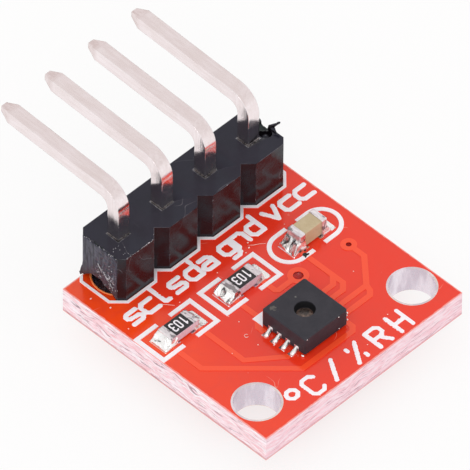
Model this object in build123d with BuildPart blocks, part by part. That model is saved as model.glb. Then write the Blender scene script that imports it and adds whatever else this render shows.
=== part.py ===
from build123d import *
import math
import os

os.makedirs("parts", exist_ok=True)

# Millimetres and degrees. X runs along the pin row from the first pin to the fourth, Y from the
# edge with the screw holes to the edge with the pins, and Z is up. The origin is the centre of
# the board's underside.

# Bare board, as long as its pin row and what stands over beyond the end pins
row_left_inset = 2.185
row_right_inset = 1.745
board_width = 11.84
laminate_thickness = 1.25

# Coatings, copper and print
mask_thickness = 0.03
mask_over_copper = 0.02
copper_thickness = 0.03
print_thickness = 0.035
track_width = 0.22
print_line = 0.2

# Screw holes, plated through
screw_hole_radius = 1.0
screw_plating = 0.05
screw_rim = 0.04
screw_side_inset = 1.205
screw_front_inset = 1.72

# Pin header
pin_pitch = 2.54
pin_count = 4
pin_size = 0.64
row_inset = 1.07
housing_depth = 2.54
housing_height = 2.54
notch_chamfer = 0.46
end_overhang = 1.08
pin_recess = 0.76
pin_recess_depth = 0.12
groove_foot = 1.6
groove_roof = 0.9
groove_height = 0.3
groove_shift = 0.1

# Bent pins, measured from the top of the board and from the middle of the row
leg_height = 4.84
leg_reach = 6.72
leg_slope = 2.5
bend_radius = 0.8
tail_length = 1.2
tip_length = 0.55
tip_size = 0.3

# Plated holes of the pins and their solder
pin_drill_radius = 0.53
pin_plating = 0.03
pin_pad_radius = 1.15
pad_edge_margin = 0.1
joint_radius = 0.8
joint_height = 0.6
joint_top_radius = 0.42

# Tracks
track_corner = 0.3
small_track_corner = 0.2
tight_track_corner = 0.1
clock_bend_y = -2.2
supply_bend_y = -1.28
front_track_gap = 0.4
side_track_gap = 0.1
data_track_rise = 0.45
data_track_drop = 0.5
branch_corner = 0.38
enable_reach = 3.4
enable_bend_y = -1.6
underside_drop = 1.6
underside_corner = 0.5

# Broken foot of the housing at the first pin
break_foot = 2.1
break_roof = 0.7
break_height = 0.58
break_depth = 0.5

# Torn pit and flash of the housing at the last pin
pit_radius = 0.3
pit_depth = 0.35
pit_taper = 20
pit_setback = 0.36
pit_shift = -0.3
flash_wall = 0.1
flash_height = 0.32
flash_root = 0.1
flash_back = -0.36
flash_front = -0.62
flash_bow = 0.02
flash_tongue = 0.52
flash_tongue_width = 0.16
flash_tongue_place = -0.4
flash_tongue_tilt = 6

# Vias
first_via_hole_radius = 0.22
second_via_hole_radius = 0.12
via_plating = 0.03
via_ring = 0.16
first_via = (1.65, -0.45)
second_via = (4.38, -0.7)

# Chip resistors
chip_length = 1.6
chip_width = 0.8
resistor_height = 0.45
terminal_length = 0.3
terminal_thickness = 0.04
coating_thickness = 0.05
coating_margin = 0.02
resistor_centres = {"a": (-4.1, 0.83), "b": (-0.4, 0.83)}

# Chip capacitor
capacitor_height = 0.85
capacitor_skin = 0.03
ceramic_bevel = 0.03
capacitor_centre = (3.46, 0.83)

# Solder of the chips
chip_pad_length = 0.92
chip_pad_width = 0.96
chip_pad_spacing = 1.56
solder_seat = 0.03
solder_climb = 0.7
solder_edge_margin = 0.04

# Sensor chip
sensor_size = 2.5
sensor_height = 0.9
sensor_centre = (-0.14, -2.58)
sensor_corner = 0.06
sensor_edge = 0.05
sensor_stand = 0.1
sensor_lead_pitch = 0.5
sensor_lead_count = 4
sensor_lead_width = 0.26
sensor_lead_length = 0.35
sensor_lead_height = 0.2
sensor_pad_reach = 0.42
sensor_pad_under = 0.4
solder_toe = 0.05
window_radius = 0.46
window_floor_radius = 0.36
window_depth = 0.34
die_size = 1.1
die_thickness = 0.2

# White outlines
row_outline_line = 0.13
row_outline_gap = 0.03
row_outline_chamfer = 0.59
bracket_length = 3.32
bracket_width = 1.8
bracket_gap = 0.75
stadium_length = 3.78
stadium_width = 1.86
stadium_gap = 0.64
outline_rise = 0.09
corner_mark = 0.6
corner_mark_rise = 0.5
corner_mark_side = 0.05
print_edge_margin = 0.04

# Eight-sided joints of the strokes and rings of the vias, turned to lie flat along a stroke
stroke_sides = 8
stroke_turn = 180 / stroke_sides

# Levels
laminate_bottom = mask_thickness
laminate_top = laminate_bottom + laminate_thickness
board_top = laminate_top + mask_thickness
housing_top = board_top + housing_height

# Places worked out from the sizes above
board_length = row_left_inset + pin_pitch * (pin_count - 1) + row_right_inset
row_x = (row_left_inset - row_right_inset) / 2
row_y = board_width / 2 - row_inset
row_start = row_left_inset - board_length / 2
pin_places = [(row_start + pin_pitch * number, row_y) for number in range(pin_count)]
screw_y = -board_width / 2 + screw_front_inset
screw_x = board_length / 2 - screw_side_inset
screw_places = {"left": (-screw_x, screw_y), "right": (screw_x, screw_y)}
screw_drill_radius = screw_hole_radius + screw_plating
screw_rim_radius = screw_drill_radius + screw_rim
vias = {
    "first": (first_via, first_via_hole_radius),
    "second": (second_via, second_via_hole_radius),
}
chip_centres = {**resistor_centres, "c": capacitor_centre}
chip_floor = board_top + solder_seat
side_names = {-1: "left", 1: "right"}
sensor_x, sensor_y = sensor_centre
sensor_half = sensor_size / 2
sensor_floor = board_top + sensor_stand
sensor_top = sensor_floor + sensor_height
die_top = sensor_top - window_depth
window_taper = math.degrees(math.atan((window_radius - window_floor_radius) / window_depth))
lead_rows = [
    sensor_y + sensor_lead_pitch * ((sensor_lead_count - 1) / 2 - number)
    for number in range(sensor_lead_count)
]
row_length = pin_pitch * (pin_count - 1) + 2 * end_overhang
pin_bore_radius = pin_drill_radius - pin_plating
leg_rise = math.tan(math.radians(leg_slope))
groove_angle = math.degrees(math.atan(2 * groove_height / (groove_foot - groove_roof)))
break_angle = math.degrees(math.atan(2 * break_height / (break_foot - break_roof)))
flash_x = pin_places[-1][0] + end_overhang - flash_wall / 2
corner_mark_place = (sensor_x - sensor_half - corner_mark_side,
                     sensor_y + sensor_half + corner_mark_rise)


def chip_pad(name, side):
    """Middle of the land under one end of a chip."""
    x, y = chip_centres[name]
    return (x + side * chip_pad_spacing / 2, y)


def sensor_pad(side, number):
    """Middle of the part of a land that shows beside the sensor."""
    return (sensor_x + side * (sensor_half + sensor_pad_reach / 2), lead_rows[number])


# Tracks of both faces, each a chain of corners
clock_pad = chip_pad("a", 1)
supply_pad = chip_pad("a", -1)
data_pad = chip_pad("b", -1)
pull_up_pad = chip_pad("b", 1)
ground_pad = chip_pad("c", -1)
front_track_y = sensor_y - sensor_half - front_track_gap
side_track_x = sensor_x + sensor_half + side_track_gap
enable_x = sensor_x + enable_reach
track_routes = [
    [clock_pad, (clock_pad[0], clock_bend_y),
     (sensor_pad(-1, 3)[0] - track_corner, lead_rows[3]), sensor_pad(-1, 3)],
    [supply_pad, (supply_pad[0], supply_bend_y),
     (supply_pad[0] + supply_bend_y - front_track_y, front_track_y),
     (side_track_x - small_track_corner, front_track_y),
     (side_track_x, front_track_y + small_track_corner), (side_track_x, lead_rows[3])],
    [data_pad, (data_pad[0], sensor_y + sensor_half + data_track_rise),
     (sensor_pad(-1, 0)[0], lead_rows[0] + data_track_drop), sensor_pad(-1, 0)],
    [pull_up_pad, (pull_up_pad[0], first_via[1] + tight_track_corner),
     (pull_up_pad[0] + tight_track_corner, first_via[1]), first_via],
    [ground_pad, (ground_pad[0], lead_rows[1] + track_corner),
     (ground_pad[0] - track_corner, lead_rows[1]), sensor_pad(1, 1)],
    [(ground_pad[0], lead_rows[0] + branch_corner),
     (ground_pad[0] - branch_corner, lead_rows[0]), sensor_pad(1, 0)],
    [second_via, (second_via[0], enable_bend_y), (enable_x, lead_rows[2]), sensor_pad(1, 2)],
    [(enable_x, lead_rows[2]), (enable_x - tight_track_corner, lead_rows[3] + small_track_corner),
     (enable_x - track_corner, lead_rows[3]), sensor_pad(1, 3)],
]
supply_pin = pin_places[-1]
underside_routes = [
    [supply_pin, (second_via[0], supply_pin[1] - underside_drop), second_via,
     (second_via[0] - underside_corner, first_via[1]), first_via],
]


def strokes(route, width):
    """Strokes with eight-sided joints along a chain of corners, in the sketch being drawn."""
    for start, end in zip(route, route[1:]):
        run = Vector(*end) - Vector(*start)
        middle = (Vector(*start) + Vector(*end)) / 2
        heading = math.degrees(math.atan2(run.Y, run.X))
        with Locations(middle):
            Rectangle(run.length, width, rotation=heading)
        with Locations(start, end):
            RegularPolygon(width / 2, stroke_sides, major_radius=False,
                           rotation=heading + stroke_turn)


def chip_pads():
    """Lands of the resistors and the capacitor, in the sketch being drawn."""
    for name in chip_centres:
        with Locations(chip_pad(name, -1), chip_pad(name, 1)):
            Rectangle(chip_pad_length, chip_pad_width)


def sensor_pads():
    """Lands of the sensor, in the sketch being drawn."""
    length = sensor_pad_reach + sensor_pad_under
    middle = sensor_half + sensor_pad_reach - length / 2
    for side in (-1, 1):
        with Locations(*[(sensor_x + side * middle, y) for y in lead_rows]):
            Rectangle(length, sensor_lead_width)


def pin_pads():
    """Discs of the pins, cut off short of the board's edges, in the sketch being drawn."""
    with BuildSketch(mode=Mode.PRIVATE) as discs:
        with Locations(*pin_places):
            Circle(pin_pad_radius)
        Rectangle(board_length - 2 * pad_edge_margin, board_width - 2 * pad_edge_margin,
                  mode=Mode.INTERSECT)
    add(discs.sketch)


def via_ring_outline(place, radius, mode=Mode.ADD):
    """Eight-sided outline of the copper ring round one via, in the sketch being drawn."""
    with Locations(place):
        RegularPolygon(radius + via_plating + via_ring, stroke_sides, major_radius=False,
                       rotation=stroke_turn, mode=mode)


def via_covers():
    """Round stretches of mask that cover the rings of the vias, in the sketch being drawn."""
    for place, radius in vias.values():
        with Locations(place):
            Circle((radius + via_plating + via_ring) / math.cos(math.radians(stroke_turn))
                   + mask_over_copper)


def drilled_holes():
    """Every hole of the laminate, cut from the sketch being drawn."""
    with Locations(*pin_places):
        Circle(pin_drill_radius, mode=Mode.SUBTRACT)
    with Locations(*screw_places.values()):
        Circle(screw_drill_radius, mode=Mode.SUBTRACT)
    for place, radius in vias.values():
        with Locations(place):
            Circle(radius + via_plating, mode=Mode.SUBTRACT)


def via_rings(mode=Mode.ADD):
    """Outlines of all the copper rings of the vias, in the sketch being drawn."""
    for place, radius in vias.values():
        via_ring_outline(place, radius, mode)


def via_holes():
    """Open bores of the vias, in the sketch being drawn."""
    for place, radius in vias.values():
        with Locations(place):
            Circle(radius)


def pin_row(growth, corner):
    """Housing outline of the pin row, grown on every side, in the sketch being drawn."""
    half_x = pin_pitch / 2 + growth
    half_y = housing_depth / 2 + growth
    flat_x = half_x - corner
    flat_y = half_y - corner
    octagon = [
        (half_x, flat_y), (flat_x, half_y), (-flat_x, half_y), (-half_x, flat_y),
        (-half_x, -flat_y), (-flat_x, -half_y), (flat_x, -half_y), (half_x, -flat_y),
    ]
    with Locations(*pin_places):
        Polygon(*octagon)


def trimmed_row():
    """Housing outline with both ends broken off, in the sketch being drawn."""
    pin_row(0, notch_chamfer)
    with Locations((row_x, row_y)):
        Rectangle(row_length, housing_depth, mode=Mode.INTERSECT)


def centred_block(centre, length, width, low, high):
    """Block centred over a place, between two levels, in the part being made."""
    with Locations((centre[0], centre[1], low)):
        Box(length, width, high - low, align=(Align.CENTER, Align.CENTER, Align.MIN))


def chip_end(centre, side):
    """Middle of one terminal of a chip."""
    return (centre[0] + side * (chip_length - terminal_length) / 2, centre[1])


def outer_face(solid, side):
    """End face of a terminal that looks away from its chip."""
    return solid.faces().sort_by(Axis.X)[-1 if side > 0 else 0]


def chip_solder(centre, side, climb):
    """Seat under one terminal and the concave fillet that climbs its end."""
    inner = chip_length / 2 - terminal_length
    face = chip_length / 2
    outer = (chip_pad_spacing + chip_pad_length) / 2 - solder_edge_margin
    with BuildPart() as solder:
        with BuildSketch(Plane(origin=(centre[0], centre[1], board_top),
                               x_dir=(side, 0, 0), z_dir=(0, -side, 0))):
            with BuildLine():
                Polyline((outer, 0), (inner, 0), (inner, solder_seat), (face, solder_seat),
                         (face, climb))
                RadiusArc((face, climb), (outer, 0), face - outer - climb)
            make_face()
        extrude(amount=chip_width / 2, both=True)
    return solder


def lead_blocks():
    """Every lead of the sensor, flush with its sides and its underside, in the part being made."""
    for side in (-1, 1):
        x = sensor_x + side * (sensor_half - sensor_lead_length / 2)
        for y in lead_rows:
            centred_block((x, y), sensor_lead_length, sensor_lead_width, sensor_floor,
                          sensor_floor + sensor_lead_height)


# Laminate with its drilled holes
with BuildPart() as laminate:
    with BuildSketch(Plane.XY.offset(laminate_bottom)):
        Rectangle(board_length, board_width)
        drilled_holes()
    extrude(amount=laminate_thickness)
laminate.part.label = "laminate"
export_step(laminate.part, "parts/laminate.step")

# Copper of the component side: tracks and lands
with BuildPart() as copper_top:
    with BuildSketch(Plane.XY.offset(laminate_top)):
        for route in track_routes:
            strokes(route, track_width)
        chip_pads()
        sensor_pads()
        via_rings(mode=Mode.SUBTRACT)
    extrude(amount=copper_thickness)
copper_top.part.label = "copper_top"
export_step(copper_top.part, "parts/copper_top.step")

# Copper of the underside: the supply track
with BuildPart() as copper_bottom:
    with BuildSketch(Plane.XY.offset(laminate_bottom)):
        for route in underside_routes:
            strokes(route, track_width)
        via_rings(mode=Mode.SUBTRACT)
        with Locations(*pin_places):
            Circle(pin_pad_radius, mode=Mode.SUBTRACT)
    extrude(amount=-copper_thickness)
copper_bottom.part.label = "copper_bottom"
export_step(copper_bottom.part, "parts/copper_bottom.step")

# Solder mask of the component side, raised where it runs over the copper
with BuildPart() as solder_mask_top:
    with BuildSketch(Plane.XY.offset(laminate_top)):
        Rectangle(board_length, board_width)
    extrude(amount=mask_thickness)
    with BuildSketch(Plane.XY.offset(laminate_top)):
        for route in track_routes:
            strokes(route, track_width + 2 * mask_over_copper)
        via_covers()
    extrude(amount=copper_thickness + mask_over_copper)
    with BuildSketch(Plane.XY.offset(laminate_top)):
        chip_pads()
        sensor_pads()
        pin_pads()
        with Locations(*screw_places.values()):
            Circle(screw_rim_radius)
        via_holes()
    extrude(amount=copper_thickness + mask_over_copper, mode=Mode.SUBTRACT)
    with BuildSketch(Plane.XY.offset(laminate_top)):
        via_rings()
    extrude(amount=copper_thickness, mode=Mode.SUBTRACT)
    add(copper_top.part, mode=Mode.SUBTRACT)
solder_mask_top.part.label = "solder_mask_top"
export_step(solder_mask_top.part, "parts/solder_mask_top.step")

# Solder mask of the underside
with BuildPart() as solder_mask_bottom:
    with BuildSketch(Plane.XY.offset(laminate_bottom)):
        Rectangle(board_length, board_width)
    extrude(amount=-mask_thickness)
    with BuildSketch(Plane.XY.offset(laminate_bottom)):
        for route in underside_routes:
            strokes(route, track_width + 2 * mask_over_copper)
        via_covers()
    extrude(amount=-(copper_thickness + mask_over_copper))
    with BuildSketch(Plane.XY.offset(laminate_bottom)):
        pin_pads()
        with Locations(*screw_places.values()):
            Circle(screw_rim_radius)
        via_holes()
    extrude(amount=-(copper_thickness + mask_over_copper), mode=Mode.SUBTRACT)
    with BuildSketch(Plane.XY.offset(laminate_bottom)):
        via_rings()
    extrude(amount=-copper_thickness, mode=Mode.SUBTRACT)
    add(copper_bottom.part, mode=Mode.SUBTRACT)
solder_mask_bottom.part.label = "solder_mask_bottom"
export_step(solder_mask_bottom.part, "parts/solder_mask_bottom.step")

# White outlines round the header, the chips and the sensor's first corner
with BuildSketch() as row_footprint:
    trimmed_row()
with BuildPart() as white_outlines:
    with BuildSketch(Plane.XY.offset(board_top)):
        pin_row(row_outline_gap + row_outline_line, row_outline_chamfer)
        offset(amount=-row_outline_line, kind=Kind.INTERSECTION, mode=Mode.SUBTRACT)
        Rectangle(board_length - 2 * print_edge_margin, board_width - 2 * print_edge_margin,
                  mode=Mode.INTERSECT)
        add(row_footprint.sketch, mode=Mode.SUBTRACT)
    with BuildSketch(Plane.XY.offset(board_top)):
        with Locations(*[(x, y + outline_rise) for x, y in resistor_centres.values()]):
            Rectangle(bracket_length, bracket_width)
            Rectangle(bracket_length - 2 * print_line, bracket_width - 2 * print_line,
                      mode=Mode.SUBTRACT)
            Rectangle(bracket_gap, bracket_width, mode=Mode.SUBTRACT)
    with BuildSketch(Plane.XY.offset(board_top)):
        with Locations((capacitor_centre[0], capacitor_centre[1] + outline_rise)):
            SlotOverall(stadium_length, stadium_width)
            SlotOverall(stadium_length - 2 * print_line, stadium_width - 2 * print_line,
                        mode=Mode.SUBTRACT)
            Rectangle(stadium_gap, stadium_width, mode=Mode.SUBTRACT)
    with BuildSketch(Plane.XY.offset(board_top)):
        Polygon(
            corner_mark_place,
            (corner_mark_place[0] + corner_mark, corner_mark_place[1]),
            (corner_mark_place[0], corner_mark_place[1] - corner_mark),
            align=None,
        )
    extrude(amount=print_thickness)
    add(solder_mask_top.part, mode=Mode.SUBTRACT)
white_outlines.part.label = "white_outlines"
export_step(white_outlines.part, "parts/white_outlines.step")

# Plated lining of each screw hole, with a rim on both faces
for side, place in screw_places.items():
    with BuildPart() as screw_lining:
        with BuildSketch():
            with Locations(place):
                Circle(screw_drill_radius)
        extrude(amount=board_top)
        with BuildSketch(Plane.XY, Plane.XY.offset(laminate_top)):
            with Locations(place):
                Circle(screw_rim_radius)
        extrude(amount=mask_thickness)
        with BuildSketch():
            with Locations(place):
                Circle(screw_hole_radius)
        extrude(amount=board_top, mode=Mode.SUBTRACT)
    screw_lining.part.label = f"screw_lining_{side}"
    export_step(screw_lining.part, f"parts/screw_lining_{side}.step")

# Plated barrel of each via, with its ring on both faces
for name, (place, radius) in vias.items():
    with BuildPart() as via_barrel:
        with BuildSketch(Plane.XY.offset(laminate_bottom - copper_thickness)):
            with Locations(place):
                Circle(radius + via_plating)
        extrude(amount=laminate_thickness + 2 * copper_thickness)
        with BuildSketch(Plane.XY.offset(laminate_bottom - copper_thickness),
                         Plane.XY.offset(laminate_top)):
            via_ring_outline(place, radius)
        extrude(amount=copper_thickness)
        with BuildSketch(Plane.XY.offset(laminate_bottom - copper_thickness)):
            with Locations(place):
                Circle(radius)
        extrude(amount=laminate_thickness + 2 * copper_thickness, mode=Mode.SUBTRACT)
    via_barrel.part.label = f"via_barrel_{name}"
    export_step(via_barrel.part, f"parts/via_barrel_{name}.step")

# Plated barrel with its lands, solder and bent pin of each header position
for number, (x, y) in enumerate(pin_places, start=1):
    with BuildPart() as pin_barrel:
        with BuildSketch(Plane.XY.offset(laminate_bottom)):
            with Locations((x, y)):
                Circle(pin_drill_radius)
        extrude(amount=laminate_thickness)
        with BuildSketch(Plane.XY.offset(laminate_bottom - copper_thickness),
                         Plane.XY.offset(laminate_top)):
            with Locations((x, y)):
                Circle(pin_pad_radius)
            Rectangle(board_length - 2 * pad_edge_margin, board_width - 2 * pad_edge_margin,
                      mode=Mode.INTERSECT)
        extrude(amount=copper_thickness)
        with BuildSketch(Plane.XY.offset(laminate_bottom - copper_thickness)):
            with Locations((x, y)):
                Circle(pin_bore_radius)
        extrude(amount=laminate_thickness + 2 * copper_thickness, mode=Mode.SUBTRACT)
    pin_barrel.part.label = f"pin_barrel_{number}"
    export_step(pin_barrel.part, f"parts/pin_barrel_{number}.step")

    side_plane = Plane(origin=(x, y, board_top), x_dir=(0, 1, 0), z_dir=(1, 0, 0))
    with BuildPart() as header_pin:
        with BuildLine(side_plane) as spine:
            FilletPolyline(
                (0, -board_top - tail_length),
                (0, leg_height),
                (leg_reach, leg_height + leg_reach * leg_rise),
                radius=bend_radius,
            )
        with BuildSketch(Plane.XY.offset(-tail_length)):
            with Locations((x, y)):
                Rectangle(pin_size, pin_size)
        sweep(path=spine.line)
        for end in (header_pin.faces().sort_by(Axis.Z)[0], header_pin.faces().sort_by(Axis.Y)[-1]):
            chamfer(end.edges(), length=(pin_size - tip_size) / 2, length2=tip_length, reference=end)
    header_pin.part.label = f"header_pin_{number}"
    export_step(header_pin.part, f"parts/header_pin_{number}.step")

    with BuildPart() as pin_solder:
        with BuildSketch(Plane(origin=(x, y, 0), x_dir=(1, 0, 0), z_dir=(0, -1, 0))):
            with BuildLine():
                Polyline((0, -joint_height), (0, board_top), (pin_bore_radius, board_top),
                         (pin_bore_radius, 0), (joint_radius, 0),
                         (joint_top_radius, -joint_height), (0, -joint_height))
            make_face()
        revolve(axis=Axis((x, y, 0), (0, 0, 1)))
        with BuildSketch(Plane.XY.offset(-joint_height)):
            with Locations((x, y)):
                Rectangle(pin_size, pin_size)
        extrude(amount=joint_height + board_top, mode=Mode.SUBTRACT)
    pin_solder.part.label = f"pin_solder_{number}"
    export_step(pin_solder.part, f"parts/pin_solder_{number}.step")

# Header housing: notched strip broken from a longer one and grooved underneath, with its foot
# broken away at the first pin, and a torn pit and flash at the last
with BuildPart() as header_housing:
    with BuildSketch(Plane.XY.offset(board_top)):
        trimmed_row()
    extrude(amount=housing_height)
    with BuildSketch(Plane(origin=(0, row_y + groove_shift, board_top), x_dir=(0, 1, 0),
                           z_dir=(1, 0, 0))):
        Trapezoid(groove_foot, groove_height, groove_angle, align=(Align.CENTER, Align.MIN))
    extrude(amount=board_length, both=True, mode=Mode.SUBTRACT)
    with BuildSketch(Plane(origin=(row_start - end_overhang, row_y + groove_shift, board_top),
                           x_dir=(0, 1, 0), z_dir=(1, 0, 0))):
        Trapezoid(break_foot, break_height, break_angle, align=(Align.CENTER, Align.MIN))
    extrude(amount=break_depth, mode=Mode.SUBTRACT)
    with BuildSketch(Plane.XY.offset(housing_top)):
        with Locations(*pin_places):
            Rectangle(pin_recess, pin_recess)
    extrude(amount=-pin_recess_depth, mode=Mode.SUBTRACT)
    with BuildSketch(Plane.XY.offset(housing_top)):
        with Locations((pin_places[-1][0] + end_overhang - pit_setback, row_y + pit_shift)):
            Circle(pit_radius)
    extrude(amount=-pit_depth, taper=pit_taper, mode=Mode.SUBTRACT)
    with BuildSketch(Plane.XY.offset(housing_top - flash_root)):
        with BuildLine(mode=Mode.PRIVATE) as flash_line:
            ThreePointArc(
                (flash_x - flash_bow, row_y + flash_back),
                (flash_x, row_y + (flash_back + flash_front) / 2),
                (flash_x - flash_bow, row_y + flash_front),
            )
        SlotArc(flash_line.edges()[0], flash_wall)
    extrude(amount=flash_root + flash_height)
    with BuildSketch(Plane.XZ.offset(-row_y - flash_tongue_place)):
        with Locations((flash_x, housing_top + flash_height - flash_wall / 2)):
            Rectangle(flash_tongue, flash_wall, rotation=flash_tongue_tilt,
                      align=(Align.MIN, Align.CENTER))
    extrude(amount=flash_tongue_width)
    with BuildSketch(Plane.XY.offset(board_top)):
        with Locations(*pin_places):
            Rectangle(pin_size, pin_size)
    extrude(amount=housing_height, mode=Mode.SUBTRACT)
header_housing.part.label = "header_housing"
export_step(header_housing.part, "parts/header_housing.step")

# Chip resistors: ceramic block, dark coating between the wrapped terminals, and solder
for name, centre in resistor_centres.items():
    resistor_top = chip_floor + resistor_height
    core_length = chip_length - 2 * terminal_thickness
    core_low = chip_floor + terminal_thickness
    core_high = resistor_top - terminal_thickness

    with BuildPart() as resistor_body:
        centred_block(centre, core_length, chip_width, core_low, core_high)
    resistor_body.part.label = f"resistor_{name}_body"
    export_step(resistor_body.part, f"parts/resistor_{name}_body.step")

    with BuildPart() as resistor_coating:
        coating_length = chip_length - 2 * terminal_length - 2 * coating_margin
        coating_width = chip_width - 2 * coating_margin
        centred_block(centre, coating_length, coating_width, core_high,
                      core_high + coating_thickness)
    resistor_coating.part.label = f"resistor_{name}_coating"
    export_step(resistor_coating.part, f"parts/resistor_{name}_coating.step")

    for side, side_name in side_names.items():
        with BuildPart() as resistor_terminal:
            centred_block(chip_end(centre, side), terminal_length, chip_width, chip_floor,
                          resistor_top)
            wrap_edges = outer_face(resistor_terminal, side).edges().filter_by(Axis.Y)
            fillet(wrap_edges, radius=terminal_thickness)
            add(resistor_body.part, mode=Mode.SUBTRACT)
        resistor_terminal.part.label = f"resistor_{name}_terminal_{side_name}"
        export_step(resistor_terminal.part, f"parts/resistor_{name}_terminal_{side_name}.step")

        resistor_solder = chip_solder(centre, side, solder_climb * resistor_height)
        resistor_solder.part.label = f"resistor_{name}_solder_{side_name}"
        export_step(resistor_solder.part, f"parts/resistor_{name}_solder_{side_name}.step")

# Chip capacitor: ceramic block, a cap over each end, and solder
with BuildPart() as capacitor_body:
    centred_block(capacitor_centre, chip_length - 2 * capacitor_skin,
                  chip_width - 2 * capacitor_skin, chip_floor + capacitor_skin,
                  chip_floor + capacitor_height - capacitor_skin)
    chamfer(capacitor_body.edges(), length=ceramic_bevel)
capacitor_body.part.label = "capacitor_body"
export_step(capacitor_body.part, "parts/capacitor_body.step")

for side, side_name in side_names.items():
    with BuildPart() as capacitor_terminal:
        centred_block(chip_end(capacitor_centre, side), terminal_length, chip_width, chip_floor,
                      chip_floor + capacitor_height)
        cap_edges = outer_face(capacitor_terminal, side).edges()
        chamfer(cap_edges + capacitor_terminal.edges().filter_by(Axis.X),
                length=ceramic_bevel + capacitor_skin / 2)
        add(capacitor_body.part, mode=Mode.SUBTRACT)
    capacitor_terminal.part.label = f"capacitor_terminal_{side_name}"
    export_step(capacitor_terminal.part, f"parts/capacitor_terminal_{side_name}.step")

    capacitor_solder = chip_solder(capacitor_centre, side, solder_climb * capacitor_height)
    capacitor_solder.part.label = f"capacitor_solder_{side_name}"
    export_step(capacitor_solder.part, f"parts/capacitor_solder_{side_name}.step")

# Leads of the sensor
with BuildPart() as sensor_leads:
    lead_blocks()
sensor_leads.part.label = "sensor_leads"
export_step(sensor_leads.part, "parts/sensor_leads.step")

# Sensing die under the window
with BuildPart() as sensor_die:
    centred_block(sensor_centre, die_size, die_size, die_top - die_thickness, die_top)
sensor_die.part.label = "sensor_die"
export_step(sensor_die.part, "parts/sensor_die.step")

# Moulded body with its window and its bevelled corners
with BuildPart() as sensor_body:
    centred_block(sensor_centre, sensor_size, sensor_size, sensor_floor, sensor_top)
    chamfer(sensor_body.edges().filter_by(Axis.Z), length=sensor_corner)
    chamfer(sensor_body.faces().sort_by(Axis.Z)[-1].edges(), length=sensor_edge)
    with BuildSketch(Plane.XY.offset(sensor_top)):
        with Locations(sensor_centre):
            Circle(window_radius)
    extrude(amount=-window_depth, taper=window_taper, mode=Mode.SUBTRACT)
    add(sensor_die.part, mode=Mode.SUBTRACT)
    add(sensor_leads.part, mode=Mode.SUBTRACT)
sensor_body.part.label = "sensor_body"
export_step(sensor_body.part, "parts/sensor_body.step")

# Solder between the leads and their lands, with a toe outside the body
with BuildPart() as sensor_solder:
    for side in (-1, 1):
        for y in lead_rows:
            with BuildSketch(Plane(origin=(sensor_x, y, board_top),
                                   x_dir=(side, 0, 0), z_dir=(0, -side, 0))):
                Polygon(
                    (sensor_half - sensor_lead_length, 0),
                    (sensor_half + sensor_pad_reach, 0),
                    (sensor_half + sensor_pad_reach, solder_toe),
                    (sensor_half, sensor_stand + sensor_lead_height * solder_climb),
                    (sensor_half, sensor_stand),
                    (sensor_half - sensor_lead_length, sensor_stand),
                    align=None,
                )
    extrude(amount=sensor_lead_width / 2, both=True)
sensor_solder.part.label = "sensor_solder"
export_step(sensor_solder.part, "parts/sensor_solder.step")
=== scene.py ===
import math
import random

import bmesh
import bpy
from mathutils import Matrix, Vector, noise


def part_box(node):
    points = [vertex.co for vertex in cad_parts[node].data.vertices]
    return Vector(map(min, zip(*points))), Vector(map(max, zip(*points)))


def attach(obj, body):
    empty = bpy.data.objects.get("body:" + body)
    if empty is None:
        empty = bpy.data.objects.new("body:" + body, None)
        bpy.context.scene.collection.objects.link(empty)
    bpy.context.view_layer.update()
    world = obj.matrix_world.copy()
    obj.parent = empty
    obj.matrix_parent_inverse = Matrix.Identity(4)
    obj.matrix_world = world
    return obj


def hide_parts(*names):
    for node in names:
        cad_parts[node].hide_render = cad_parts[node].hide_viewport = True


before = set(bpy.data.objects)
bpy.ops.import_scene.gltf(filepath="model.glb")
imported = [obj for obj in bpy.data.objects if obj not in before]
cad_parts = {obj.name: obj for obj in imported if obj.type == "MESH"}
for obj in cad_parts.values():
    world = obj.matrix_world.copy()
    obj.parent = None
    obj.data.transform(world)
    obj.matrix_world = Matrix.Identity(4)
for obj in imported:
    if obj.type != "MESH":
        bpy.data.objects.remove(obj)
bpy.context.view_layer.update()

# Sizes are in millimetres here and turned into metres where a mesh is made. The axes are those of
# the frame: X along the pins, Y from the screw holes to the pins, Z up.
MM = 0.001
up = Vector((0, 0, 1))


def node_box(name):
    """Lowest and highest corner of a CAD node in millimetres."""
    low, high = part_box(name)
    return Vector(low) / MM, Vector(high) / MM


def middle(name):
    """Middle of a CAD node's box in millimetres."""
    low, high = node_box(name)
    return (low + high) / 2


board_low, board_high = node_box("laminate")
board_top = node_box("screw_lining_left")[1].z
housing_low, housing_high = node_box("header_housing")
row_y = (housing_low.y + housing_high.y) / 2
sensor_low, sensor_high = node_box("sensor_body")
sensor_middle = middle("sensor_body")
pin_x = [middle(f"header_pin_{number}").x for number in range(1, 5)]
tail_end = node_box("header_pin_1")[0].z
tip_y = node_box("header_pin_1")[1].y


# Camera

camera_place = (-305.724, -297.394, 465.661)
camera_forward = Vector((0.48552, 0.47487, -0.73401))
camera_roll = math.radians(0.4999)
camera_lens = 1166.31
film_width = 36
far_limit = 10

scene = bpy.context.scene
camera = bpy.data.objects.new("camera", bpy.data.cameras.new("camera"))
camera.data.sensor_width = film_width
camera.data.lens = camera_lens
camera.data.clip_end = far_limit
turn = camera_forward.to_track_quat("-Z", "Y").to_matrix() @ Matrix.Rotation(camera_roll, 3, "Z")
camera.matrix_world = Matrix.Translation(Vector(camera_place) * MM) @ turn.to_4x4()
scene.collection.objects.link(camera)
scene.camera = camera
scene.view_settings.view_transform = "Standard"


# Shader building

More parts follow.
